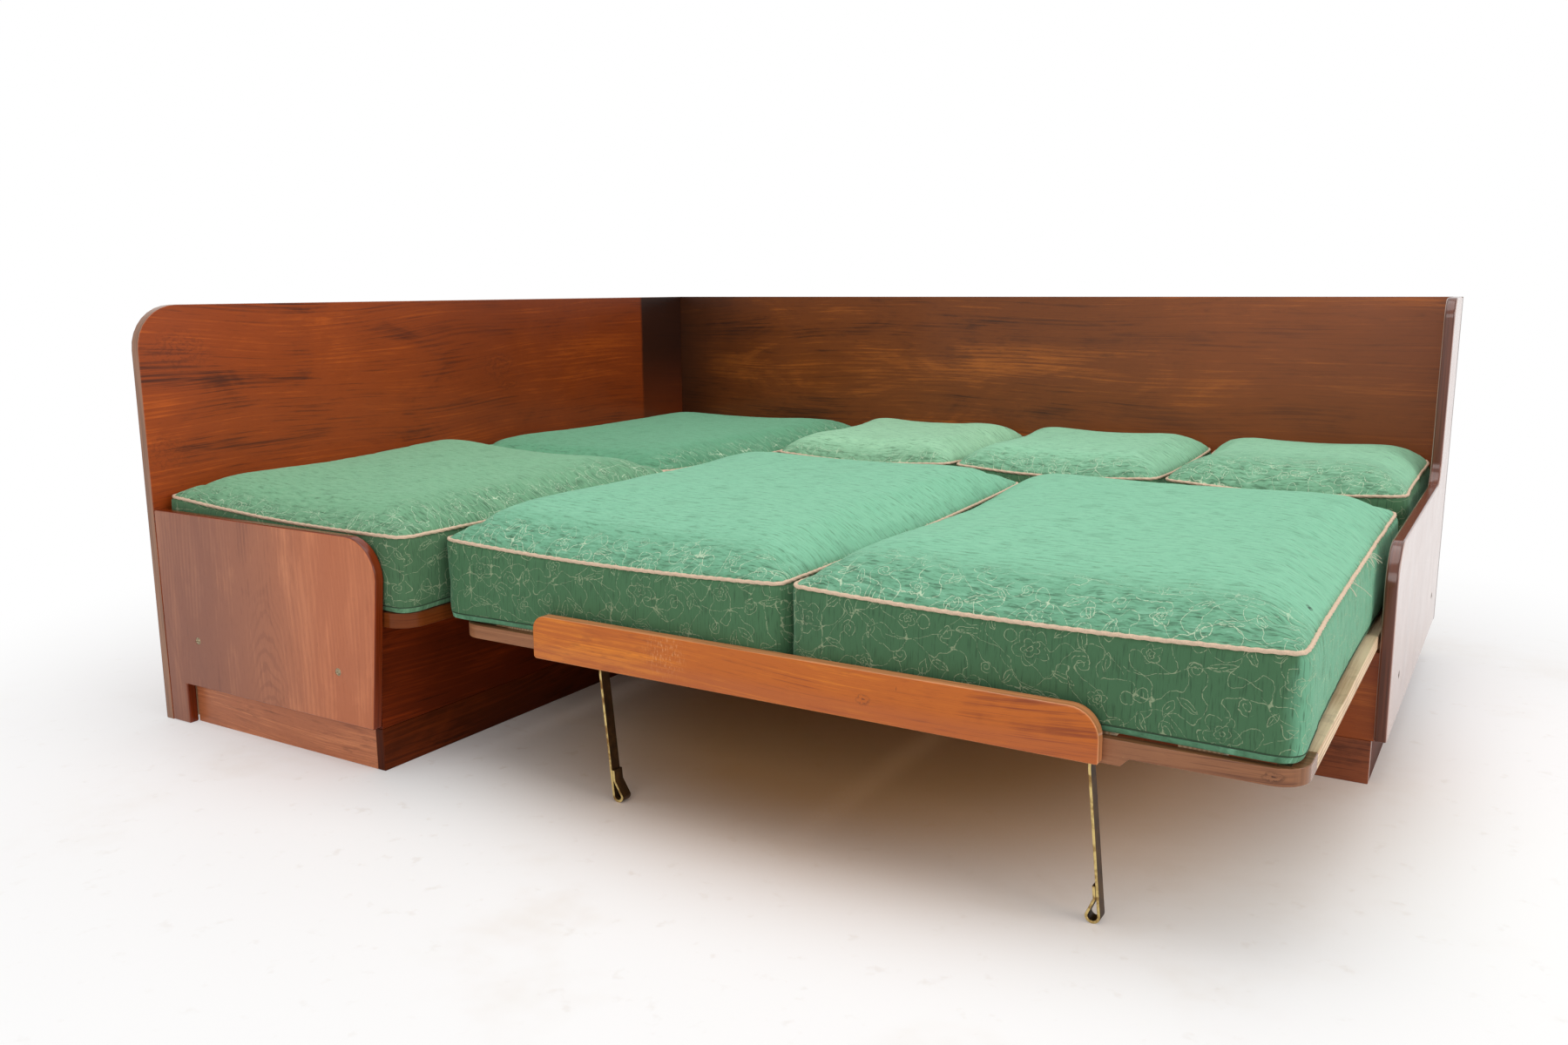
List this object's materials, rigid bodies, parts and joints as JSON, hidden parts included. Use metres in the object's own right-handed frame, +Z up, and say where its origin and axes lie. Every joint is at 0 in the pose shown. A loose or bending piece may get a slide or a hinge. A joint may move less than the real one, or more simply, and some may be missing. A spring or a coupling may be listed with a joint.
{
  "type": "corner sofa bed",
  "caption": "Corner sofa bed with veneered panels, loose box cushions, a slatted pull-out on folding strap legs and back cushions that lie flat as part of the bed.",
  "frame": {"origin": "middle of the object's box on the floor, in the pictured pose with the pull-out fully out", "axes": "+X along the rear back panel towards the right arm, +Y towards the rear back panel, +Z up"},
  "size_m": [2.252, 1.878, 0.86],
  "materials": {
    "panel_veneer": "satin lacquered reddish-brown veneer",
    "rear_veneer": "satin lacquered brown veneer",
    "arm_veneer": "satin lacquered pinkish-brown veneer",
    "plinth_veneer": "satin dark brown veneer",
    "box_veneer": "satin orange-brown veneer",
    "front_board_veneer": "glossy orange-brown lacquer with scratches",
    "raw_wood": "bare softwood",
    "slat_wood": "bare planed pine",
    "green_fabric": "woven upholstery with a fine vine pattern",
    "faded_fabric": "sun-faded woven upholstery with a fine vine pattern",
    "leg_brass": "aged, dull",
    "bracket_steel": "dull zinc",
    "screw_metal": "dark aged"
  },
  "bodies": {
    "base": {"left_back_panel": "panel_veneer", "rear_back_panel": "rear_veneer", "left_arm_panel": "panel_veneer", "right_arm_panel": "arm_veneer", "left_plinth_front": "plinth_veneer", "left_plinth_side": "plinth_veneer", "left_plinth_back": "raw_wood", "right_plinth_front": "plinth_veneer", "right_plinth_end": "raw_wood", "rear_plinth": "raw_wood", "left_box_front": "box_veneer", "left_box_side": "box_veneer", "left_box_floor": "raw_wood", "deck_ledger": "raw_wood", "deck_battens": "raw_wood", "left_deck": "panel_veneer", "corner_block": "raw_wood", "right_box_front": "box_veneer", "right_box_end": "raw_wood", "right_box_floor": "raw_wood", "runner_board": "raw_wood", "box_dividers": "raw_wood", "slat_bearer": "raw_wood", "rear_ledger": "raw_wood", "stop_blocks": "raw_wood", "fixed_slats": "slat_wood", "left_arm_screws": "screw_metal", "right_arm_screws": "screw_metal", "left_front_cushion": "green_fabric", "left_rear_cushion": "green_fabric"},
    "pull_out": {"pullout_front_rail": "panel_veneer", "pullout_left_rail": "slat_wood", "pullout_right_rail": "slat_wood", "pullout_rear_rail": "raw_wood", "pullout_slats": "slat_wood", "pullout_ledgers": "raw_wood", "pullout_corner_blocks": "raw_wood", "front_board": "front_board_veneer", "front_board_dowels": "raw_wood", "leg_brackets": "bracket_steel", "leg_pins": "bracket_steel", "seat_cushion_left": "green_fabric", "seat_cushion_right": "green_fabric"},
    "left_leg": {"left_leg": "leg_brass"},
    "right_leg": {"right_leg": "leg_brass"},
    "back_cushion_left": {"back_cushion_left": "faded_fabric"},
    "back_cushion_middle": {"back_cushion_middle": "green_fabric"},
    "back_cushion_right": {"back_cushion_right": "green_fabric"}
  },
  "joints": [
    {"name": "pull_out_slide", "type": "slide", "parent": "base", "child": "pull_out", "axis": [0, 1, 0], "range_m": [0, 0.62]},
    {"name": "left_leg_fold", "type": "hinge", "parent": "pull_out", "child": "left_leg", "pos_m": [-0.051, -0.8005, 0.26], "axis": [1, 0, 0], "range_deg": [0, 90]},
    {"name": "right_leg_fold", "type": "hinge", "parent": "pull_out", "child": "right_leg", "pos_m": [0.817, -0.8005, 0.26], "axis": [1, 0, 0], "range_deg": [0, 90]},
    {"name": "back_cushion_left_tip", "type": "hinge", "parent": "base", "child": "back_cushion_left", "pos_m": [-0.1624, 0.9165, 0.5145], "axis": [-1, 0, 0], "range_deg": [0, 90]},
    {"name": "back_cushion_middle_tip", "type": "hinge", "parent": "base", "child": "back_cushion_middle", "pos_m": [0.3407, 0.9165, 0.5145], "axis": [-1, 0, 0], "range_deg": [0, 90]},
    {"name": "back_cushion_right_tip", "type": "hinge", "parent": "base", "child": "back_cushion_right", "pos_m": [0.8439, 0.9165, 0.5145], "axis": [-1, 0, 0], "range_deg": [0, 90]}
  ],
  "couplings": [
    {"joint": "back_cushion_left_tip", "follows": "pull_out_slide", "rad_per_m": 2.5335},
    {"joint": "back_cushion_middle_tip", "follows": "pull_out_slide", "rad_per_m": 2.5335},
    {"joint": "back_cushion_right_tip", "follows": "pull_out_slide", "rad_per_m": 2.5335}
  ]
}
